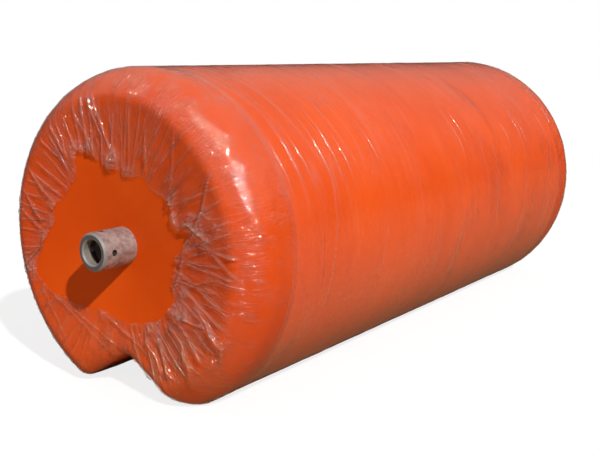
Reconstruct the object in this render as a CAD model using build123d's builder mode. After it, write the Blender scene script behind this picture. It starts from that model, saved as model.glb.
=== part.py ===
from build123d import *
import os
from math import acos, cos, radians, sin, tan, tau

# A foam-filled pipeline buoy: a long float with rounded rims and dished ends, a saddle groove along
# its underside, a steel tube on its axis, and the clear film that it is wrapped in for transport.
# X runs along the buoy, Z is up, and the origin is on the ground under its middle.

# Float, in millimetres and degrees
float_diameter = 1500
float_length = 3400
rim_radius = 190
rim_sweep = 60
crest_radius = 70
dish_angle = 4.5

# Saddle groove along the underside, a V whose depth is from the barrel's lowest line to its sharp vertex
groove_depth = 270
groove_flank_angle = 30
groove_apex_radius = 60
groove_edge_radius = 60

# Steel tube through the float, with pin holes across it
tube_diameter = 165
tube_wall = 29.5
tube_overhang = 135
tube_clearance = 0.3
outer_chamfer = 9
inner_chamfer = 7
cross_hole_diameter = 27
cross_hole_from_end = 52

# Wrapped film, drawn as one skin for all its layers, and the width left between its torn edge and the crest
film_gap = 0.6
film_thickness = 2
film_margin = 46

# Torn edge of the film on each end face: how far from the axis it lies at even steps up from +Y, as
# shares of the opening's radius
near_tear = [
    1.20, 1.12, 1.01, 1.06, 1.13, 0.95, 0.81, 0.79, 0.82, 0.87, 0.90, 1.04,
    0.82, 0.81, 0.90, 0.91, 0.88, 0.86, 0.85, 0.83, 0.93, 1.09, 1.32, 1.42,
]
far_tear = [
    0.97, 0.94, 0.86, 1.00, 1.00, 0.88, 0.85, 0.88, 0.98, 0.92, 0.87, 1.03,
    1.17, 1.29, 1.20, 1.02, 0.87, 0.83, 0.85, 0.92, 0.89, 0.84, 0.95, 0.92,
]

# Sizes that follow
float_radius = float_diameter / 2
half_length = float_length / 2
tube_radius = tube_diameter / 2
half_tube = half_length + tube_overhang
seat_radius = tube_radius + tube_clearance
film_outside = film_gap + film_thickness
rim_turn = radians(rim_sweep)
dish_turn = radians(dish_angle)
flank_turn = radians(groove_flank_angle)
groove_vertex_drop = float_radius - groove_depth
crest_sweep = 90 - rim_sweep + dish_angle

# Where the barrel ends, and where the dish starts beside the crest
rim_start = half_length - rim_radius * sin(rim_turn) - crest_radius * (1 - sin(rim_turn))
dish_start = half_length - crest_radius * (1 - cos(dish_turn))
rim_drop = rim_radius * (1 - cos(rim_turn))
dish_radius = float_radius - rim_drop - crest_radius * (cos(rim_turn) + sin(dish_turn))
opening_radius = (dish_radius - film_margin) / max(near_tear + far_tear)

# A lobe's rounded corner: how far round from straight down its centre lies, and how low it reaches
lobe_reach = float_radius - groove_edge_radius
lobe_turn = acos((groove_vertex_drop * cos(flank_turn) - groove_edge_radius) / lobe_reach) - flank_turn
axis_height = lobe_reach * cos(lobe_turn) + groove_edge_radius + film_outside

# Planes and axis of the buoy, at its height above the ground
axis_point = (0, 0, axis_height)
buoy_axis = Axis(axis_point, (1, 0, 0))
side_plane = Plane(origin=axis_point, x_dir=(1, 0, 0), z_dir=(0, -1, 0))
cross_plane = Plane(origin=axis_point, x_dir=(0, 1, 0), z_dir=(1, 0, 0))
level_plane = Plane(origin=axis_point, x_dir=(1, 0, 0), z_dir=(0, 0, 1))


def dish_face(radius):
    """How far the dished end face lies from the middle of the buoy at this radius."""
    return dish_start - (dish_radius - radius) * tan(dish_turn)


def groove_section(setback):
    """The groove's V section, its flanks and apex moved into the float by setback."""
    apex = groove_vertex_drop - setback / cos(flank_turn)
    foot = apex + float_diameter * tan(flank_turn)
    with BuildSketch(mode=Mode.PRIVATE) as vee:
        with BuildLine():
            Polyline((0, -apex), (float_diameter, -foot), (-float_diameter, -foot), close=True)
        make_face()
        fillet(vee.vertices().sort_by(Axis.Y)[-1], radius=groove_apex_radius + setback)
    return vee.sketch


def torn_edge(shares):
    """Corners of a torn edge across the axis, one for each share."""
    corners = [(tau * step / len(shares), share * opening_radius) for step, share in enumerate(shares)]
    return [(reach * cos(turn), reach * sin(turn)) for turn, reach in corners]


os.makedirs("parts", exist_ok=True)

# Float body: skin and foam as one closed body, bored for the tube
with BuildPart() as float_body:
    with BuildSketch(side_plane):
        with BuildLine():
            barrel = Line((0, float_radius), (rim_start, float_radius))
            rim = JernArc(barrel @ 1, barrel % 1, rim_radius, -rim_sweep)
            crest = JernArc(rim @ 1, rim % 1, crest_radius, -crest_sweep)
            dish = Line(crest @ 1, (dish_face(seat_radius), seat_radius))
            Line(dish @ 1, (0, seat_radius))
            mirror(about=Plane.YZ)
        make_face()
    revolve(axis=buoy_axis)
    with BuildSketch(cross_plane):
        add(groove_section(0))
    extrude(amount=float_length, both=True, mode=Mode.SUBTRACT)
    groove_edges = float_body.edges(Select.LAST)
    apex_lines = groove_edges.filter_by(Axis.X).sort_by(Axis.Z)[-2:]
    fillet(groove_edges - apex_lines, radius=groove_edge_radius)
float_body.part.label = "float_body"
export_step(float_body.part, "parts/float_body.step")

# Tube on the axis, with two crossing pin holes near each end
with BuildPart() as through_tube:
    with BuildSketch(cross_plane):
        Circle(tube_radius)
        Circle(tube_radius - tube_wall, mode=Mode.SUBTRACT)
    extrude(amount=half_tube, both=True)
    end_edges = through_tube.edges().filter_by(GeomType.CIRCLE).group_by(SortBy.RADIUS)
    chamfer(end_edges[-1], length=outer_chamfer)
    chamfer(end_edges[0], length=inner_chamfer)
    for hole_plane in (level_plane, side_plane):
        with BuildSketch(hole_plane):
            with Locations((half_tube - cross_hole_from_end, 0), (cross_hole_from_end - half_tube, 0)):
                Circle(cross_hole_diameter / 2)
        extrude(amount=tube_diameter, both=True, mode=Mode.SUBTRACT)
through_tube.part.label = "through_tube"
export_step(through_tube.part, "parts/through_tube.step")

# Film round the barrel and along the groove's flanks
with BuildSketch(mode=Mode.PRIVATE) as barrel_section:
    Circle(float_radius)
    add(groove_section(0), mode=Mode.SUBTRACT)
    fillet(barrel_section.vertices().group_by(Axis.Y)[0], radius=groove_edge_radius)
film_outline = offset(barrel_section.sketch, amount=film_outside, mode=Mode.PRIVATE)
film_lining = offset(barrel_section.sketch, amount=film_gap, mode=Mode.PRIVATE)
with BuildPart() as film_barrel:
    with BuildSketch(cross_plane):
        add(film_outline)
        add(film_lining, mode=Mode.SUBTRACT)
    extrude(amount=rim_start, both=True)
film_barrel.part.label = "film_barrel"
export_step(film_barrel.part, "parts/film_barrel.step")

# Film gathered on each dished end face, round its torn edge
for name, side, tear in (("film_end_near", -1, near_tear), ("film_end_far", 1, far_tear)):
    with BuildPart() as film_end:
        with BuildSketch(side_plane):
            with BuildLine():
                Polyline(
                    (side * (dish_face(0) + film_gap), 0),
                    (side * (dish_face(dish_radius) + film_gap), dish_radius),
                    (side * (dish_face(dish_radius) + film_outside), dish_radius),
                    (side * (dish_face(0) + film_outside), 0),
                    close=True,
                )
            make_face()
        revolve(axis=buoy_axis)
        with BuildSketch(cross_plane):
            with BuildLine():
                Polyline(*torn_edge(tear), close=True)
            make_face()
            add(groove_section(groove_edge_radius))
        extrude(amount=side * float_length, mode=Mode.SUBTRACT)
    film_end.part.label = name
    export_step(film_end.part, f"parts/{name}.step")

print(f"axis {axis_height:.2f} above the ground, barrel to {rim_start:.2f}, dish to {dish_face(0):.2f}")
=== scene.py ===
from math import cos, pi, radians, sin

import bmesh
import bpy
import numpy as np
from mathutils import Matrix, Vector
from mathutils.bvhtree import BVHTree


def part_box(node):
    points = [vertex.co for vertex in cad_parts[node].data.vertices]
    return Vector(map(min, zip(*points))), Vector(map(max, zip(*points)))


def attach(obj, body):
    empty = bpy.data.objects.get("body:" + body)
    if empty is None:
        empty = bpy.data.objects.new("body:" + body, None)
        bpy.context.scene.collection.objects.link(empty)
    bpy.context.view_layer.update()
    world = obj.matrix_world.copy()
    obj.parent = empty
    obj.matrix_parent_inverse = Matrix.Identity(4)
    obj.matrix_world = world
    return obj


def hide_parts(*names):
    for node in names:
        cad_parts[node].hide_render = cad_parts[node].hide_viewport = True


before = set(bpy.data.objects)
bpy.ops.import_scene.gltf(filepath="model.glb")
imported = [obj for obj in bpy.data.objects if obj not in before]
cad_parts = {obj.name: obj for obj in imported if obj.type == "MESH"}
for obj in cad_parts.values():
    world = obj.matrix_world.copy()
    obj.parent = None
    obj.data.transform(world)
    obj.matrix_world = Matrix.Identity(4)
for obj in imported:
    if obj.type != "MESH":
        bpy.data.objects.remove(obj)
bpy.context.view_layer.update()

# A foam-filled pipeline buoy wrapped in clear film. Metres, X along the buoy, Z up, origin on the ground.
float_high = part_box("float_body")[1]
tube_low, tube_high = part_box("through_tube")
half_length = float_high.x
float_radius = float_high.y
half_tube = tube_high.x
tube_radius = tube_high.y
axis_height = (tube_low.z + tube_high.z) / 2
rim_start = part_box("film_barrel")[1].x

# Form of the rounded end: barrel, rim, crest and dish follow each other
rim_radius = 0.190
rim_sweep = radians(60)
crest_radius = 0.070
dish_angle = radians(4.5)

# Tube end: its outer chamfer, and the holes for a pin across it
tube_chamfer = 0.009
pin_from_end = 0.052
pin_radius = 0.0135

# Camera: where the eye is, how far it turns from +Y to +X and down, and its lens
eye = Vector((-4.26365, -2.83425, 1.45985))
eye_turn = 0.9397
eye_dip = 0.1845
lens_mm = 54.394

# Sun lamp: the way to it, its strength and its width in the sky
sun_direction = Vector((-0.365, -0.70, 0.615))
sun_strength = 3.0
sun_size = radians(1.6)

# Sky: its strength as light, and in reflections, where it brightens between two heights of the look upwards
sky_strength = 0.24
sky_in_gloss = 0.43
low_sky_in_gloss = 0.04
low_sky_to = 0.08
high_sky_from = 0.45

# Floor: half its width, and how brightly it glows to the eye alone
floor_half_width = 60
floor_glow = 0.82


# Helpers for materials

class Shade:
    """The node tree of a material or of the world, with short calls that add a node and link its inputs."""

    def __init__(self, owner):
        self.owner = owner
        owner.use_nodes = True
        self.tree = owner.node_tree
        self.tree.nodes.clear()

    def add(self, kind, settings=None, **inputs):
        node = self.tree.nodes.new("ShaderNode" + kind)
        for key, value in (settings or {}).items():
            setattr(node, key, value)
        for key, value in inputs.items():
            self.feed(node, key.replace("_", " "), value)
        return node

    def feed(self, node, key, value):
        socket = node.inputs[int(key) if key.isdigit() else key]
        if isinstance(value, bpy.types.NodeSocket):
            self.tree.links.new(value, socket)
        elif isinstance(value, bpy.types.Node):
            self.tree.links.new(value.outputs[0], socket)
        else:
            socket.default_value = value

    def math(self, operation, first, second=0.0, clamp=False):
        node = self.add("Math", {"operation": operation, "use_clamp": clamp})
        self.feed(node, "0", first)
        self.feed(node, "1", second)
        return node

    def times(self, first, second):
        return self.math("MULTIPLY", first, second)

    def total(self, first, *others):
        for value in others:
            first = self.math("ADD", first, value)
        return first

    def noise(self, vector, scale, detail=3.0, roughness=0.55):
        node = self.add("TexNoise", Scale=scale, Detail=detail, Roughness=roughness)
        self.feed(node, "Vector", vector)
        return node.outputs["Fac"]

    def stretch(self, vector, location=(0, 0, 0), scale=(1, 1, 1)):
        node = self.add("Mapping", Location=location, Scale=scale)
        self.feed(node, "Vector", vector)
        return node.outputs["Vector"]

    def ramp(self, value, low, high, bottom=0.0, top=1.0, smooth=True):
        kind = "SMOOTHSTEP" if smooth else "LINEAR"
        node = self.add("MapRange", {"interpolation_type": kind})
        for key, number in (("Value", value), ("From Min", low), ("From Max", high),
                            ("To Min", bottom), ("To Max", top)):
            self.feed(node, key, number)
        return node.outputs["Result"]

    def blend(self, share, first, second):
        node = self.add("Mix", {"data_type": "RGBA"})
        for key, value in (("0", share), ("6", first), ("7", second)):
            self.feed(node, key, value)
        return node.outputs[2]

    def bump(self, height, strength, distance, **under):
        node = self.add("Bump", Strength=strength, Distance=distance, **under)
        self.feed(node, "Height", height)
        return node

    def end(self, shader, kind="OutputMaterial"):
        output = self.add(kind)
        self.tree.links.new(shader.outputs[0], output.inputs["Surface"])
        return self.owner


def new_material(name):
    return Shade(bpy.data.materials.new(name))


def object_place(shade):
    return shade.add("TexCoord").outputs["Object"]


def place_parts(shade):
    """X, Y and Z from the buoy's axis."""
    parts = shade.add("SeparateXYZ")
    shade.feed(parts, "0", shade.stretch(object_place(shade), location=(0, 0, -axis_height)))
    return parts.outputs


def distance_from_axis(shade, y, z):
    return shade.math("SQRT", shade.total(shade.times(y, y), shade.times(z, z)))


def stored_value(shade, name):
    """A value that each point of the film carries."""
    return shade.add("Attribute", {"attribute_name": name}).outputs["Fac"]


# Materials

def orange_skin():
    """Sprayed polyurethane: satin, with a fine orange-peel, faint spray bands and a little dust."""
    deep = (0.84, 0.083, 0.0020, 1)
    bright = (0.92, 0.102, 0.0040, 1)
    banded = (0.78, 0.070, 0.0020, 1)
    dusty = (0.66, 0.20, 0.07, 1)
    shade = new_material("orange_skin")
    place = object_place(shade)
    clouds = shade.noise(place, scale=2.2, detail=4)
    bands = shade.noise(shade.stretch(place, scale=(7, 1.2, 1.2)), scale=1.6, detail=3)
    peel = shade.noise(place, scale=150, detail=2)
    lumps = shade.noise(place, scale=14, detail=3)
    dust = shade.noise(place, scale=9, detail=6, roughness=0.7)
    tone = shade.blend(shade.ramp(clouds, 0.3, 0.7), deep, bright)
    tone = shade.blend(shade.ramp(bands, 0.45, 0.75, 0.0, 0.35), tone, banded)
    tone = shade.blend(shade.ramp(dust, 0.56, 0.86, 0.0, 0.14), tone, dusty)
    fine_bump = shade.bump(peel, strength=0.25, distance=0.0006)
    bump = shade.bump(lumps, strength=0.5, distance=0.002, Normal=fine_bump)
    skin = shade.add("BsdfPrincipled", Base_Color=tone, Specular_IOR_Level=0.10, Normal=bump)
    shade.feed(skin, "Roughness", shade.ramp(lumps, 0.3, 0.7, 0.50, 0.64))
    return shade.end(skin)


def tube_steel():
    """Dull zinc-dipped steel with brown stain patches, partly a painted reflection of the orange float, a
    bare machined end ring with a painted highlight on its chamfer, and a dirty bore with painted shade at its
    pin holes.
    """
    dark_zinc = (0.25, 0.195, 0.175, 1)
    pale_zinc = (0.50, 0.43, 0.40, 1)
    # Brown of stain and of a painted reflection of the orange float
    brown_stain_and_reflection = (0.27, 0.125, 0.085, 1)
    dark_bore = (0.30, 0.24, 0.20, 1)
    pale_bore = (0.42, 0.36, 0.30, 1)
    # Painted shade for the pin holes
    pin_hole_shade = (0.09, 0.065, 0.055, 1)
    dark_cut = (0.13, 0.11, 0.11, 1)
    pale_cut = (0.22, 0.19, 0.19, 1)
    # Painted highlight for the chamfer
    chamfer_highlight = (0.36, 0.33, 0.31, 1)
    chamfer_start = half_tube - tube_chamfer
    shade = new_material("tube_steel")
    place = object_place(shade)
    x, y, z = place_parts(shade)
    from_axis = distance_from_axis(shade, y, z)
    along = shade.math("ABSOLUTE", x)
    mottle = shade.noise(place, scale=42, detail=5, roughness=0.65)
    grain = shade.noise(place, scale=380, detail=2)
    blotches = shade.noise(shade.stretch(place, scale=(0.5, 1, 1)), scale=17, detail=6, roughness=0.7)
    tone = shade.blend(shade.ramp(mottle, 0.30, 0.66), dark_zinc, pale_zinc)
    # Brown blotches, partly stain and partly a painted reflection of the orange float
    tone = shade.blend(shade.ramp(blotches, 0.50, 0.72, 0.0, 0.7), tone, brown_stain_and_reflection)

    # Bore, and in it the walls of the pin holes and a ring round them, painted dark as painted shade
    inner = shade.ramp(from_axis, tube_radius - 0.0014, tube_radius - 0.0006, 1.0, 0.0)
    tone = shade.blend(inner, tone, shade.blend(blotches, dark_bore, pale_bore))
    from_pin = shade.math("ABSOLUTE", shade.math("SUBTRACT", along, half_tube - pin_from_end))
    near_pin = shade.ramp(from_pin, pin_radius + 0.0003, pin_radius + 0.0010, 1.0, 0.0)
    tone = shade.blend(shade.times(inner, near_pin), tone, pin_hole_shade)

    # Machined end, with a painted highlight over its chamfer
    machined = shade.ramp(along, chamfer_start - 0.0004, chamfer_start + 0.0004)
    tone = shade.blend(machined, tone, shade.blend(mottle, dark_cut, pale_cut))
    from_chamfer = shade.ramp(along, chamfer_start - 0.001, chamfer_start + 0.001)
    at_end = shade.ramp(along, half_tube - 0.0012, half_tube - 0.0002)
    tone = shade.blend(shade.math("SUBTRACT", from_chamfer, at_end), tone, chamfer_highlight)

    bump = shade.bump(shade.total(mottle, shade.times(grain, 0.35)), strength=0.5, distance=0.0006)
    steel = shade.add("BsdfPrincipled", Base_Color=tone, Metallic=0.35, Normal=bump)
    shade.feed(steel, "Roughness", shade.ramp(mottle, 0.3, 0.7, 0.62, 0.42))
    return shade.end(steel)


def crests_of(shade, value):
    """Turns a noise into thin crests, 1 where it crosses its middle."""
    off = shade.math("ABSOLUTE", shade.math("SUBTRACT", value, 0.5))
    return shade.ramp(off, 0.0, 0.11, 1.0, 0.0)


def clear_film(name, gathered, shine, crumple_shine, line_shine, rim_shine, mottle, low_dust_and_reflection, dust_and_reflection_top,
               ripple_height, patch_form, patch_from):
    """Clear stretch film: a faint mirror that grows edge-on and in crumples, with a thin haze, some dust and
    a painted reflection of the ground low down, and painted shade beside its folds and in its crumples.
    Gathered film has its lines and ripples on the end faces and rims."""
    glint = (1.0, 0.84, 0.75, 1)
    # Sandy tint of dust and of a painted reflection of the ground, low on the film
    sandy_dust_and_reflection = (1.0, 0.78, 0.46, 1)
    # Painted shadow colour, laid where the film carries dark
    fold_shadow = (0.10, 0.022, 0.010, 1)
    shade = new_material(name)
    place = object_place(shade)
    x, y, z = place_parts(shade)
    from_axis = distance_from_axis(shade, y, z)
    turn = shade.math("ARCTAN2", y, z)
    on_rim = shade.ramp(from_axis, 0.58, 0.70)
    crumple = stored_value(shade, "crumple")
    # Painted shade that each point carries: beside folds and rays, and in crushed dents
    dark = stored_value(shade, "dark")

    # How fine the lines are across and along them, where they are, and where the film is rippled
    crinkled = shade.ramp(crumple, 0.03, 0.30, 0.06, 1.0)
    if gathered:
        across = shade.times(turn, 62.0)
        along = shade.times(from_axis, 9.0)
        amount = shade.ramp(shade.math("ABSOLUTE", x), half_length - 0.14, half_length - 0.03, 0.05, 1.0)
        rim_patches = shade.noise(place, scale=14, detail=2, roughness=0.5)
        rim_ripples = shade.times(on_rim, shade.ramp(rim_patches, 0.40, 0.58, 0.10, 0.60))
        crinkled = shade.math("MAXIMUM", crinkled, rim_ripples)
    else:
        across = shade.times(x, 44.0)
        along = shade.times(turn, 1.5)
        areas = shade.noise(shade.stretch(place, scale=(1, 0.4, 0.4)), scale=1.7, detail=2, roughness=0.5)
        amount = shade.ramp(areas, 0.42, 0.66)
    grain = shade.add("CombineXYZ", X=across, Y=along)
    patches = shade.noise(shade.stretch(place, scale=patch_form), scale=9, detail=3, roughness=0.5)
    lines = crests_of(shade, shade.noise(grain, scale=1.0, detail=2, roughness=0.5))
    lines = shade.times(lines, shade.ramp(patches, patch_from, patch_from + 0.20))
    lines = shade.times(lines, amount)
    line_bump = shade.bump(lines, strength=1.0, distance=0.0030)
    ripples = shade.times(shade.noise(place, scale=100, detail=2, roughness=0.5), crinkled)
    bump = shade.bump(ripples, strength=1.0, distance=ripple_height, Normal=line_bump)

    # Haze: what hides the skin below with no mirror
    cloud = shade.noise(place, scale=3.1, detail=5, roughness=0.6)
    speckle = shade.noise(place, scale=95, detail=3, roughness=0.6)
    # Dust and a painted reflection of the sandy ground: the film grows hazier and sandier downwards
    dusty = shade.ramp(z, -0.62, dust_and_reflection_top, 1.0, 0.0)
    haze = shade.total(shade.times(crumple, mottle), shade.ramp(cloud, 0.35, 0.75, 0.0, 0.015),
                       shade.times(dusty, low_dust_and_reflection), shade.times(lines, 0.02))
    haze = shade.times(haze, shade.ramp(speckle, 0.3, 0.7, 0.5, 1.5))
    if not gathered:
        streaks = shade.noise(shade.stretch(place, scale=(26, 1.1, 1.1)), scale=1.0, detail=5, roughness=0.65)
        haze = shade.total(haze, shade.ramp(streaks, 0.50, 0.78, 0.0, 0.035))

    # Mirror: strong where the film is seen edge-on
    facing = shade.add("LayerWeight", Blend=0.5, Normal=bump).outputs["Facing"]
    edge_on = shade.math("POWER", facing, 5.0)
    mirror = shade.total(shade.times(edge_on, 0.85), shine, shade.times(crumple, crumple_shine),
                         shade.times(on_rim, rim_shine), shade.times(lines, line_shine))
    # Painted shade: where the film carries dark it grows less clear and takes the painted shadow colour
    alpha = shade.math("ADD", shade.total(haze, mirror), shade.times(dark, 0.32), clamp=True)
    # Low down the tint turns sandy: dust and a painted reflection of the ground
    tone = shade.blend(dark, shade.blend(dusty, glint, sandy_dust_and_reflection), fold_shadow)
    sheet = shade.add("BsdfPrincipled", Base_Color=tone, Roughness=0.07, Normal=bump)
    shade.feed(sheet, "Metallic", shade.math("DIVIDE", mirror, alpha))
    shade.feed(sheet, "Alpha", alpha)
    return shade.end(sheet)


def film_on_barrel():
    """Film wound tight round the barrel, sandy low down with dust and a painted reflection of the ground."""
    return clear_film("film_on_barrel", gathered=False, shine=0.050, crumple_shine=0.35, line_shine=0.09,
                      rim_shine=0.0, mottle=0.30, low_dust_and_reflection=0.12, dust_and_reflection_top=0.30, ripple_height=0.0040,
                      patch_form=(0.7, 0.35, 0.35), patch_from=0.50)


def film_gathered():
    """Film drawn over a rim and gathered on the end face."""
    return clear_film("film_gathered", gathered=True, shine=0.040, crumple_shine=0.60, line_shine=0.03,
                      rim_shine=0.085, mottle=0.26, low_dust_and_reflection=0.025, dust_and_reflection_top=-0.15, ripple_height=0.0050,
                      patch_form=(1, 1, 1), patch_from=0.38)


def pale_floor():
    """Matt floor: white to the eye but for the shadow, sandy as bounced light, dark in reflections."""
    matt_grey = (0.24, 0.24, 0.24, 1)
    sandy_bounce = (0.46, 0.40, 0.29, 1)
    dark_in_gloss = (0.16, 0.125, 0.09, 1)
    shade = new_material("pale_floor")
    path = shade.add("LightPath")
    seen = path.outputs["Is Camera Ray"]
    unseen = shade.blend(path.outputs["Is Glossy Ray"], sandy_bounce, dark_in_gloss)
    matt = shade.add("BsdfDiffuse", Color=shade.blend(seen, unseen, matt_grey))
    white = shade.add("Emission", Color=(1, 1, 1, 1), Strength=shade.times(seen, floor_glow))
    both = shade.add("AddShader")
    shade.feed(both, "0", matt)
    shade.feed(both, "1", white)
    return shade.end(both)


# Stage

def make_camera():
    camera = bpy.data.objects.new("camera", bpy.data.cameras.new("camera"))
    camera.data.lens = lens_mm
    camera.location = eye
    camera.rotation_euler = (pi / 2 - eye_dip, 0, -eye_turn)
    bpy.context.scene.collection.objects.link(camera)
    bpy.context.scene.camera = camera


def make_sun():
    sun = bpy.data.objects.new("sun", bpy.data.lights.new("sun", "SUN"))
    sun.data.energy = sun_strength
    sun.data.angle = sun_size
    sun.rotation_euler = sun_direction.to_track_quat("Z", "Y").to_euler()
    bpy.context.scene.collection.objects.link(sun)


def make_world():
    """White to the eye, a weak plain sky as light, and a sky that brightens upwards in reflections."""
    sky = Shade(bpy.data.worlds.new("studio"))
    path = sky.add("LightPath")
    in_gloss = path.outputs["Is Glossy Ray"]
    plain = sky.ramp(path.outputs["Is Camera Ray"], 0.0, 1.0, sky_strength, 1.0, smooth=False)
    way = sky.add("TexCoord").outputs["Generated"]
    upwards = sky.add("SeparateXYZ", Vector=way).outputs["Z"]
    mirrored = sky.ramp(upwards, low_sky_to, high_sky_from, low_sky_in_gloss, sky_in_gloss, smooth=False)
    strength = sky.total(sky.times(plain, sky.math("SUBTRACT", 1.0, in_gloss)), sky.times(in_gloss, mirrored))
    background = sky.add("Background", Color=(1, 1, 1, 1), Strength=strength)
    bpy.context.scene.world = sky.end(background, "OutputWorld")


def make_floor():
    floor = bpy.data.objects.new("floor", bpy.data.meshes.new("floor"))
    bm = bmesh.new()
    bmesh.ops.create_grid(bm, x_segments=4, y_segments=4, size=floor_half_width)
    bm.to_mesh(floor.data)
    bm.free()
    floor.data.materials.append(pale_floor())
    bpy.context.scene.collection.objects.link(floor)


# Noise on a lattice, which repeats after this many steps
lattice_steps = 256


def lattice_noise(x, y, seed, wrap=lattice_steps):
    """Smooth noise from 0 to 1 over x and y, which repeats every wrap steps of x."""
    lattice = np.random.default_rng(seed).random((wrap, lattice_steps))
    col = np.floor(x).astype(int)
    row = np.floor(y).astype(int)
    share_x = (x - col) * (x - col) * (3 - 2 * (x - col))
    share_y = (y - row) * (y - row) * (3 - 2 * (y - row))
    this_col = col % wrap
    next_col = (col + 1) % wrap
    this_row = row % lattice_steps
    next_row = (row + 1) % lattice_steps
    low = lattice[this_col, this_row] * (1 - share_x) + lattice[next_col, this_row] * share_x
    high = lattice[this_col, next_row] * (1 - share_x) + lattice[next_col, next_row] * share_x
    return low * (1 - share_y) + high * share_y


def ring_noise(round_share, steps, y, seed):
    """Noise with this many steps all the way round, which meets itself there."""
    return lattice_noise(round_share * steps, y, seed, steps)


def creases(x, y, seed, sharpness, wrap=lattice_steps):
    """Ridges from 0 to 1: thin crests where the noise crosses its middle."""
    return (1 - np.abs(2 * lattice_noise(x, y, seed, wrap) - 1)) ** sharpness


def smooth_step(value, low, high):
    share = np.clip((value - low) / (high - low), 0, 1)
    return share * share * (3 - 2 * share)


# Helpers for the film

float_tree = BVHTree.FromObject(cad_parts["float_body"], bpy.context.evaluated_depsgraph_get())

# How far a film lies from the float. Counted from where the barrel starts, the end films reach this far
# along it, and its own film starts this far under them.
wrap_gap = 0.0012
end_gap = 0.0022
end_overlap = 0.086
under_end_film = 0.066

# No point of a film lies lower than this, and a seam's points that lie closer than this are joined
lowest_point = 0.0004
seam_width = 0.00005

# Which way a film faces is told from one face in this many
sample_step = 97

# The float's section is taken a little off the middle. Its facets lie up to this far inside its round form.
section_x = 0.011
section_start = 1.5
facet_depth = 0.0008

# At the groove's mouth, this many degrees either side of straight down, an end film is drawn in towards a
# focus inside the end
mouth_half_angle = 42
focus_depth = 0.70
draw_in_start = 0.02
draw_in_slack = 0.0006

# The end's section as a path from the axis outwards: dish, crest, rim, then the barrel
dish_radius = (float_radius - rim_radius * (1 - cos(rim_sweep))
               - crest_radius * (cos(rim_sweep) + sin(dish_angle)))
dish_run = dish_radius / cos(dish_angle)
crest_run = crest_radius * (pi / 2 - rim_sweep + dish_angle)
rim_run = rim_radius * rim_sweep
barrel_reach = dish_run + crest_run + rim_run


def end_form(reach):
    """Distance inside the end's outermost plane, and from the axis, at a path length from the axis."""
    dish = np.clip(reach, 0, dish_run)
    crest = np.clip(reach - dish_run, 0, crest_run) / crest_radius - dish_angle
    rim = np.clip(reach - dish_run - crest_run, 0, rim_run) / rim_radius + pi / 2 - rim_sweep
    barrel = np.maximum(reach - barrel_reach, 0)
    turn = pi / 2 - rim_sweep
    inside = (crest_radius * (1 - np.cos(crest)) + (dish_run - dish) * sin(dish_angle)
              + rim_radius * (cos(turn) - np.cos(rim)) + barrel)
    out = (dish * cos(dish_angle) + crest_radius * (np.sin(crest) + sin(dish_angle))
           + rim_radius * (np.sin(rim) - sin(turn)))
    return inside, out


def flat_grid(name, columns, rows):
    """A piece that is still a flat grid, and its two coordinates from 0 to 1 as arrays."""
    piece = bpy.data.objects.new(name, bpy.data.meshes.new(name))
    bpy.context.scene.collection.objects.link(piece)
    bm = bmesh.new()
    bmesh.ops.create_grid(bm, x_segments=columns, y_segments=rows, size=0.5)
    bm.to_mesh(piece.data)
    bm.free()
    places = read_vectors(piece, "co")
    return piece, places[:, 0] + 0.5, places[:, 1] + 0.5


def read_vectors(piece, kind):
    """The places ("co") or normals ("normal") of a piece's points, one row each."""
    values = np.zeros(len(piece.data.vertices) * 3, np.float32)
    piece.data.vertices.foreach_get(kind, values)
    return values.reshape(-1, 3).astype(float)


def write_points(piece, points):
    """Moves a piece's points, none of them lower than just above the ground."""
    points[:, 2] = np.maximum(points[:, 2], lowest_point)
    piece.data.vertices.foreach_set("co", points.astype(np.float32).ravel())
    piece.data.update()


def close_seam(piece):
    """Joins the first and last column of a grid that runs all the way round, and turns its faces outwards."""
    bm = bmesh.new()
    bm.from_mesh(piece.data)
    bmesh.ops.remove_doubles(bm, verts=bm.verts, dist=seam_width)
    middle = Vector((0, 0, axis_height))
    sample = list(bm.faces)[::sample_step]
    outward = sum(face.normal.dot(face.calc_center_median() - middle) for face in sample)
    if outward < 0:
        bmesh.ops.reverse_faces(bm, faces=bm.faces)
    bm.to_mesh(piece.data)
    bm.free()


def add_values(piece, name, values):
    """Stores a value from 0 to 1 on each point of a piece, for its material."""
    stored = piece.data.attributes.new(name, "FLOAT", "POINT")
    stored.data.foreach_set("value", np.clip(values, 0, 1).astype(np.float32))


def finish_film(piece, material, node):
    """Smooth shading, finish, the body it rides on and what it stands for."""
    piece.data.polygons.foreach_set("use_smooth", [True] * len(piece.data.polygons))
    piece.data.materials.append(material)
    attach(piece, "root")
    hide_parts(node)


# Film round the barrel: width of the web it is wound from, and heights of its laps, lines and tucks
web_pitch = 0.41
lap_height = 0.0006
web_edge_height = 0.0005
web_edge_width = 0.006
line_height = 0.0018
fine_line_height = 0.0009
tuck_height = 0.0062
tuck_width = 0.0055
tuck_lean = 0.012

# Short tucks of the barrel's film that catch the sun: place along it, angle up from +Y, spread in degrees
barrel_tucks = [
    (-1.55, 152, 9), (-1.48, 147, 7), (-1.41, 151, 8), (-1.33, 148, 10), (-1.26, 150, 6), (-1.12, 149, 10),
    (-1.04, 146, 11), (-0.96, 151, 7), (-0.71, 150, 6), (0.14, 151, 8), (0.20, 146, 9), (0.74, 152, 6),
    (0.92, 149, 8), (0.98, 152, 7), (1.30, 150, 7), (1.46, 148, 8),
]


def section_radius(turn):
    """The float's radius, groove included, at each angle up from +Y, near the middle of the barrel."""
    found = []
    for angle in turn:
        way = Vector((0, cos(angle), sin(angle)))
        start = Vector((section_x, 0, axis_height)) + way * section_start
        hit = float_tree.ray_cast(start, -way)[0]
        found.append(Vector((0, hit.y, hit.z - axis_height)).length)
    found = np.array(found)
    return np.where(found > float_radius - facet_depth, float_radius, found)


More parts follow.
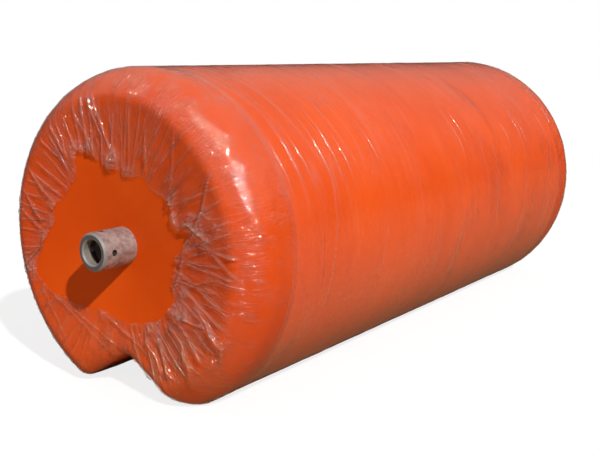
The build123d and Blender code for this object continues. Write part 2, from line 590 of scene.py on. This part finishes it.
def tucks_at(x, turn):
    """How strongly each place of the barrel's film belongs to one of the tucks."""
    strength = 0 * x
    degrees = np.degrees(turn) % 360
    for place, angle, spread in barrel_tucks:
        off = (degrees - angle) / spread
        across = (x - place - tuck_lean * off) / tuck_width
        strength = np.maximum(strength, np.exp(-off ** 2 - across ** 2))
    return strength


def make_wrap():
    """Film round the barrel and along the groove: web edges, tension lines and small tucks."""
    columns = 560
    rows = 168
    half_wrap = rim_start - under_end_film
    piece, along, round_share = flat_grid("film_wrap", columns, rows)
    turn = 1.5 * pi + 2 * pi * round_share
    row = np.round(round_share * rows).astype(int)
    radius = section_radius(1.5 * pi + 2 * pi * np.arange(rows + 1) / rows)[row]
    x = (2 * along - 1) * half_wrap

    # How far each place lies into its lap, from 0 to 1, and the edge of the web where a lap ends
    lap = x / web_pitch + round_share + 0.10 * ring_noise(round_share, 9, x * 2.0, seed=3)
    lap = lap - np.floor(lap)
    web_edge = np.exp(-(np.minimum(lap, 1 - lap) * web_pitch / web_edge_width) ** 2)
    web_edge = web_edge * smooth_step(ring_noise(round_share, 14, x / 0.5, seed=19), 0.25, 0.75)

    # Lines that lean with the winding, in patches
    lean = x + 0.15 * np.cos(turn) + 0.04 * ring_noise(round_share, 6, x * 1.3, seed=5)
    lines = creases(round_share * 8, lean / 0.034, seed=7, sharpness=10, wrap=8)
    lines = lines * smooth_step(ring_noise(round_share, 9, x / 0.30, seed=11), 0.45, 0.80)
    fine = creases(round_share * 12, lean / 0.015, seed=13, sharpness=6, wrap=12)
    fine = fine * smooth_step(ring_noise(round_share, 11, x / 0.21, seed=17), 0.55, 0.85)
    tucks = tucks_at(x, turn)

    height = wrap_gap + lap_height * (1 - lap) + line_height * lines + fine_line_height * fine
    height = height + web_edge_height * web_edge + tuck_height * tucks
    out = radius + height
    write_points(piece, np.stack([x, out * np.cos(turn), axis_height + out * np.sin(turn)], 1))
    add_values(piece, "crumple", 0.14 * lines + 0.08 * fine + 0.20 * web_edge + 0.36 * tucks)
    close_seam(piece)
    finish_film(piece, film_on_barrel(), "film_barrel")


# Torn edge of the near film: angle up from +Y in degrees, reach from the axis in millimetres
near_torn_edge = [
    (4, 435), (11, 410), (18, 430), (26, 390), (34, 380), (49, 375), (54, 425), (60, 455), (74, 385),
    (82, 330), (92, 330), (97, 310), (103, 310), (113, 340), (119, 350), (124, 330), (131, 340),
    (144, 380), (151, 345), (161, 355), (165, 430), (170, 410), (175, 375), (180, 330), (198, 325),
    (210, 370), (220, 375), (243, 350), (263, 335), (285, 320), (293, 320), (308, 385), (321, 440),
    (329, 510), (339, 555), (345, 560), (350, 510),
]

# Knots where the near film is gathered: angle, reach in millimetres, size in millimetres, strength
near_knots = [
    (60, 460, 46, 0.75), (69, 440, 34, 0.6), (88, 370, 44, 1.0), (104, 330, 40, 0.6), (144, 390, 34, 0.8),
    (156, 365, 30, 0.7), (161, 440, 36, 0.9), (166, 475, 40, 1.0), (169, 515, 38, 0.7), (160, 545, 36, 0.7),
    (172, 405, 32, 0.8), (166, 590, 46, 0.4), (202, 400, 34, 0.7), (214, 405, 40, 0.9), (212, 455, 36, 0.8),
    (204, 500, 36, 0.7), (207, 560, 30, 0.5), (240, 370, 32, 0.6), (345, 590, 46, 0.9), (357, 470, 40, 0.8),
    (8, 430, 30, 0.5), (19, 430, 34, 0.6), (290, 335, 26, 0.6), (151, 735, 60, 0.35), (141, 720, 46, 0.22),
    (160, 735, 46, 0.22),
]

# Large folds of the near film: height and width in millimetres, then places (angle, reach in millimetres)
near_folds = [
    (16, 9, (77, 690), (83, 440)), (18, 9, (80, 690), (88, 400)), (15, 9, (73, 650), (71, 400)),
    (12, 8, (69, 640), (65, 480)), (13, 8, (53, 660), (51, 480)), (11, 8, (43, 650), (48, 440)),
    (14, 9, (29, 640), (20, 420)), (15, 9, (20, 650), (6, 480)), (11, 8, (11, 660), (2, 480)),
    (10, 8, (92, 600), (88, 390)), (9, 8, (101, 650), (103, 340)), (16, 10, (111, 560), (119, 380)),
    (8, 8, (124, 650), (143, 400)), (12, 8, (146, 660), (162, 510)), (12, 9, (178, 690), (172, 450)),
    (11, 9, (186, 690), (170, 490)), (14, 14, (143, 460), (144, 390), (159, 370)),
    (27, 19, (160, 350), (161, 450), (169, 520)), (16, 14, (166, 480), (173, 390)),
    (21, 14, (158, 540), (164, 480)), (11, 12, (176, 390), (202, 360)),
    (10, 9, (198, 390), (186, 570), (187, 690)), (9, 8, (200, 480), (197, 600), (198, 660)),
    (25, 15, (202, 480), (205, 570), (210, 670), (218, 700)), (24, 22, (214, 400), (210, 510), (207, 570)),
    (17, 11, (216, 400), (218, 520), (221, 650)), (27, 17, (224, 380), (222, 510), (227, 620), (233, 680)),
    (11, 9, (228, 360), (234, 400)), (16, 16, (241, 350), (242, 400)),
    (24, 14, (243, 400), (237, 460), (239, 570), (238, 610)), (26, 16, (249, 390), (243, 500), (243, 570)),
    (13, 10, (289, 330), (260, 400), (250, 470)), (7, 7, (330, 520), (288, 420), (266, 470)),
    (5, 7, (338, 570), (305, 590)), (6, 7, (335, 550), (296, 450), (274, 500)),
    (8, 8, (350, 640), (352, 520)), (9, 8, (343, 680), (356, 480)),
]

# The near film is calm between these angles: no small folds start there
calm_from = 255
calm_to = 330

# Torn edge and knots of the far film, as for the near one
far_torn_edge = [
    (8, 400), (18, 372), (30, 345), (41, 392), (52, 424), (63, 380), (75, 352), (86, 366), (98, 332),
    (110, 350), (122, 396), (135, 360), (148, 340), (159, 372), (170, 432), (184, 470), (196, 520),
    (206, 492), (214, 468), (226, 398), (236, 352), (249, 330), (262, 324), (275, 345), (288, 372),
    (302, 350), (315, 336), (327, 372), (338, 404), (350, 352),
]
far_knots = [
    (52, 440, 44, 0.9), (98, 352, 40, 0.8), (135, 380, 36, 0.6), (170, 450, 46, 0.9), (214, 486, 46, 0.8),
    (262, 344, 34, 0.6), (315, 356, 40, 0.8), (350, 372, 36, 0.6), (20, 390, 34, 0.5), (60, 500, 40, 0.6),
    (178, 520, 42, 0.7), (30, 730, 50, 0.3), (222, 540, 40, 0.6), (320, 430, 36, 0.5),
]

# Other folds start about this reach on the rim, and end this far from the torn edge, in millimetres. They
# stand within a share of their even spacing, lean by up to so many degrees, and are this wide.
fold_start = 640
fold_start_spread = 50
fold_end_gap = 20
fold_shift = 0.3
fold_lean = 7
narrow_fold = 6
wide_fold = 10

# Gathered film: how much its edge on the barrel wanders, how far in it may reach, the share of its path
# before the torn edge curls over, the least and the added radius of that curl, and heights of its wrinkles
edge_wander = 0.02
innermost = 0.2
roll_start = 0.90
roll_least = 0.0010
roll_more = 0.005
wide_ray_height = 0.0095
thin_ray_height = 0.0050
rim_ripple_height = 0.0022
crush_height = 0.020
knot_swelling = 0.004


def torn_reach(corners, degrees):
    """Reach of the torn edge at each angle, straight from corner to corner."""
    angles = np.array([corner[0] for corner in corners], float)
    reaches = np.array([corner[1] for corner in corners], float) / 1000
    return np.interp(degrees, angles, reaches, period=360)


def ragged(round_share, level, seed):
    """Small tears along a torn edge, outwards and inwards."""
    tears = 0.016 * (ring_noise(round_share, 96, level, seed + 1) - 0.5)
    return tears + 0.008 * (ring_noise(round_share, 288, level, seed + 2) - 0.5)


def on_float(turn, reach, side):
    """Points on the float, groove included: each point of the round form is moved straight towards a
    focus inside the end until it meets the float."""
    inside, out = end_form(reach)
    x = half_length - inside
    points = np.stack([side * x, out * np.cos(turn), axis_height + out * np.sin(turn)], 1)
    focus = Vector((side * (half_length - focus_depth), 0, axis_height))
    at_mouth = np.abs((np.degrees(turn) % 360) - 270) < mouth_half_angle
    for index in np.nonzero(at_mouth)[0]:
        point = Vector(points[index])
        way = (focus - point).normalized()
        hit = float_tree.ray_cast(point - way * draw_in_start, way)[0]
        if hit is not None:
            depth = max((hit - point).length - draw_in_slack, 0.0)
            points[index] = point + way * (depth if (hit - point).dot(way) > 0 else 0.0)
    return points


def outward_normals(piece, points, side):
    """The normals of an end film that follows the float, all pointing away from its focus."""
    normals = read_vectors(piece, "normal")
    away = points - np.array([side * (half_length - focus_depth), 0, axis_height])
    return normals * np.sign(np.sum(normals * away, 1))[:, None]


def beside_fold(places, flat_x, flat_y):
    """How far each place of the sheet lies from a fold, how far along it as a length and as a share, and on
    which side."""
    angles = np.radians([place[0] for place in places])
    reaches = np.array([place[1] for place in places]) / 1000
    knots_x = reaches * np.cos(angles)
    knots_y = reaches * np.sin(angles)
    steps = np.hypot(np.diff(knots_x), np.diff(knots_y))
    run = np.concatenate([[0], np.cumsum(steps)])
    best = np.full(len(flat_x), np.inf)
    where = np.zeros(len(flat_x))
    left = np.zeros(len(flat_x))
    for start, step in enumerate(steps):
        step_x = knots_x[start + 1] - knots_x[start]
        step_y = knots_y[start + 1] - knots_y[start]
        from_x = flat_x - knots_x[start]
        from_y = flat_y - knots_y[start]
        share = np.clip((from_x * step_x + from_y * step_y) / step ** 2, 0, 1)
        away = np.hypot(from_x - share * step_x, from_y - share * step_y)
        nearer = away < best
        best = np.where(nearer, away, best)
        left = np.where(nearer, from_x * step_y - from_y * step_x, left)
        where = np.where(nearer, run[start] + share * step, where)
    return best, where, where / run[-1], left


def fold_heights(folds, flat_x, flat_y):
    """Height of the large folds over the sheet, how strongly it is creased, and the painted shadow line
    beside each.
    """
    steep_side = 0.42
    gentle_side = 1.25
    foot_place = 0.75
    foot_width = 0.30
    height = np.zeros(len(flat_x))
    crease = np.zeros(len(flat_x))
    dark = np.zeros(len(flat_x))
    for number, (tall, wide, *places) in enumerate(folds):
        width = wide / 1000
        best, where, share, left = beside_fold(places, flat_x, flat_y)
        ends = smooth_step(share, 0, 0.25) * (0.35 + 0.65 * smooth_step(1.02 - share, 0, 0.2))
        uneven = 0.55 + 0.75 * lattice_noise(where / 0.05, np.full(len(where), number * 3.7), seed=31)
        tent = np.clip(1 - best / (width * np.where(left > 0, steep_side, gentle_side)), 0, 1)
        height = np.maximum(height, tent ** 1.15 * ends * uneven * tall / 1000)
        crease = np.maximum(crease, tent ** 3 * ends * uneven)
        # Painted shadow: a dark band along the foot of each fold's gentle side
        foot = np.exp(-((best - foot_place * width) / (foot_width * width)) ** 2)
        dark = np.maximum(dark, foot * (left < 0) * ends * uneven)
    return height, crease, dark


def random_folds(seed, count, corners, lowest=7, highest=16):
    """Folds from the rim to the torn edge at uneven places all round, listed as the near ones are."""
    rng = np.random.default_rng(seed)
    folds = []
    for number in range(count):
        angle = 360 * (number + rng.uniform(-fold_shift, fold_shift)) / count
        edge = float(torn_reach(corners, angle)) * 1000
        lean = rng.uniform(-fold_lean, fold_lean)
        tall = rng.uniform(lowest, highest)
        wide = rng.uniform(narrow_fold, wide_fold)
        start = (angle, rng.uniform(fold_start - fold_start_spread, fold_start + fold_start_spread))
        bend = (angle + lean * 0.4, (edge + fold_start) / 2)
        end = (angle + lean, edge + fold_end_gap)
        folds.append((tall, wide, start, bend, end))
    return folds


def rays_to_knots(degrees, spread, knots):
    """Angle round the end as a share of a turn, bent so that rays at even shares lean towards the knots."""
    pull = 0 * degrees
    for angle, _, _, strength in knots:
        off = (angle - degrees + 180) % 360 - 180
        pull += strength * off * np.exp(-(off / 9) ** 2) * smooth_step(spread, 0.35, 1.0) * 0.8
    return (degrees + pull) / 360


def lattice_places(flat_x, flat_y, size, shift):
    """Places of the flat sheet in steps of this size, shifted to one part of the lattice."""
    return flat_x / size + shift, flat_y / size + shift


def gathers(flat_x, flat_y, reach, rays, spread, seed):
    """Rays of wrinkles on the end face and ripples on the rim: height, crumple and painted shade lines beside
    them.
    """
    sway_steps = 40
    wide_steps = 84
    thin_steps = 210
    shade_offset = 0.16
    nearness = smooth_step(spread, 0.15, 1.0)
    sway = 0.8 * lattice_noise(rays * sway_steps, reach / 0.11, seed + 4, sway_steps)
    across = rays * wide_steps + sway
    wide_rays = creases(across, reach / 0.30, seed + 5, sharpness=4, wrap=wide_steps)
    beside = creases(across + shade_offset, reach / 0.30, seed + 5, sharpness=4, wrap=wide_steps)
    thin_rays = creases(rays * thin_steps + sway, reach / 0.16, seed + 6, sharpness=5, wrap=thin_steps)
    patches = lattice_noise(*lattice_places(flat_x, flat_y, 0.11, 50), seed + 7)
    patches = smooth_step(patches, 0.30, 0.70)
    ripples = creases(*lattice_places(flat_x, flat_y, 0.021, 80), seed + 8, sharpness=2)
    tight = smooth_step(spread, 0.0, 0.10) * (1 - smooth_step(spread, 0.35, 0.7))
    tight *= smooth_step(lattice_noise(*lattice_places(flat_x, flat_y, 0.05, 50), seed + 12), 0.50, 0.80)
    height = nearness * (wide_ray_height * wide_rays * patches + thin_ray_height * thin_rays)
    height += rim_ripple_height * ripples * tight
    crumple = nearness * (0.08 * wide_rays * patches + 0.03 * thin_rays) + 0.10 * ripples * tight
    # Painted shade: a dark line just to one side of each wide ray
    dark = 0.30 * nearness * beside * (1 - wide_rays) * patches
    return height, crumple, dark


def crushed(flat_x, flat_y, bunch, knots, seed):
    """Film crushed at the knots and where it is bunched already: height, crumple and painted shade in its
    dents.
    """
    coarse = creases(*lattice_places(flat_x, flat_y, 0.017, 80), seed + 9, sharpness=1.5)
    fine = creases(*lattice_places(flat_x, flat_y, 0.009, 80), seed + 10, sharpness=1.5)
    crush = 0.65 * coarse + 0.35 * fine
    for angle, knot_reach, size, strength in knots:
        away_x = flat_x - knot_reach / 1000 * cos(radians(angle))
        away_y = flat_y - knot_reach / 1000 * sin(radians(angle))
        away = np.hypot(away_x, away_y) / (size / 1000)
        bunch = np.maximum(bunch, strength * np.exp(-away ** 2))
    height = crush_height * bunch * crush + knot_swelling * bunch
    crumple = bunch * (0.05 + 0.75 * crush ** 2)
    # Painted shade in the hollows between the crushed crests
    dark = 0.8 * bunch * (1 - crush) ** 2
    return height, crumple, dark


def make_end_film(name, side, corners, knots, folds, columns, rows, seed, material, node):
    """Film over the rim, gathered on the dished face in folds round a torn opening."""
    piece, round_share, inward = flat_grid(name, columns, rows)
    degrees = 270 + 360 * round_share
    turn = np.radians(degrees)
    degrees = degrees % 360
    level = np.full(len(turn), 0.5)

    # Path from the edge on the barrel to the torn edge, which curls over
    outer = barrel_reach + end_overlap + edge_wander * ring_noise(round_share, 24, 0 * turn, seed)
    torn = torn_reach(corners, degrees) + ragged(round_share, level, seed)
    spread = 1 - (1 - np.clip(inward / roll_start, 0, 1)) ** 1.25
    roll = np.clip((inward - roll_start) / (1 - roll_start), 0, 1)
    roll_radius = roll_least + roll_more * ring_noise(round_share, 48, level, seed + 3) ** 3
    reach = outer + (torn - outer) * spread - roll_radius * np.sin(roll * 0.5 * pi)
    curl = roll_radius * (1 - np.cos(roll * 0.5 * pi))
    base = on_float(turn, np.maximum(reach, innermost), side)
    write_points(piece, base)
    normals = outward_normals(piece, base, side)

    # Wrinkles, large folds and knots, as they lie on the sheet spread flat
    flat_x = reach * np.cos(turn)
    flat_y = reach * np.sin(turn)
    rays = rays_to_knots(degrees, spread, knots)
    ray_height, ray_crumple, ray_shade = gathers(flat_x, flat_y, reach, rays, spread, seed)
    fold_height, fold_crease, fold_shade = fold_heights(folds, flat_x, flat_y)
    bunch = smooth_step(ring_noise(round_share, 32, level, seed + 11), 0.35, 0.95)
    bunch = 0.50 * bunch * np.exp(-((reach - torn) / 0.018) ** 2)
    knot_height, knot_crumple, knot_shade = crushed(flat_x, flat_y, bunch, knots, seed)
    height = end_gap + ray_height + fold_height + knot_height + curl
    crumple = ray_crumple + 0.34 * fold_crease + knot_crumple + 0.04 * smooth_step(roll, 0, 0.4)
    write_points(piece, base + normals * height[:, None])
    add_values(piece, "crumple", crumple)
    # Painted shade beside the rays and folds and in the crushed dents
    add_values(piece, "dark", np.maximum(np.maximum(fold_shade, ray_shade), knot_shade))
    close_seam(piece)
    finish_film(piece, material, node)


def make_end_films():
    """The near film with the folds of the photographed end, and the far one with folds of its own."""
    material = film_gathered()
    small_folds = random_folds(4, 64, near_torn_edge, lowest=5, highest=11)
    small_folds = [fold for fold in small_folds if not calm_from < fold[2][0] < calm_to]
    make_end_film("film_near", -1, near_torn_edge, near_knots, near_folds + small_folds,
                  columns=1240, rows=80, seed=100, material=material, node="film_end_near")
    far_folds = random_folds(9, 44, far_torn_edge)
    far_folds += random_folds(12, 58, far_torn_edge, lowest=5, highest=11)
    make_end_film("film_far", 1, far_torn_edge, far_knots, far_folds,
                  columns=1000, rows=64, seed=200, material=material, node="film_end_far")


def dress_node(node, skin):
    """Gives a CAD node its finish."""
    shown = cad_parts[node]
    shown.data.materials.clear()
    shown.data.materials.append(skin)


make_camera()
make_sun()
make_world()
make_floor()
bpy.context.scene.view_settings.view_transform = "Standard"

dress_node("float_body", orange_skin())
dress_node("through_tube", tube_steel())
make_wrap()
make_end_films()
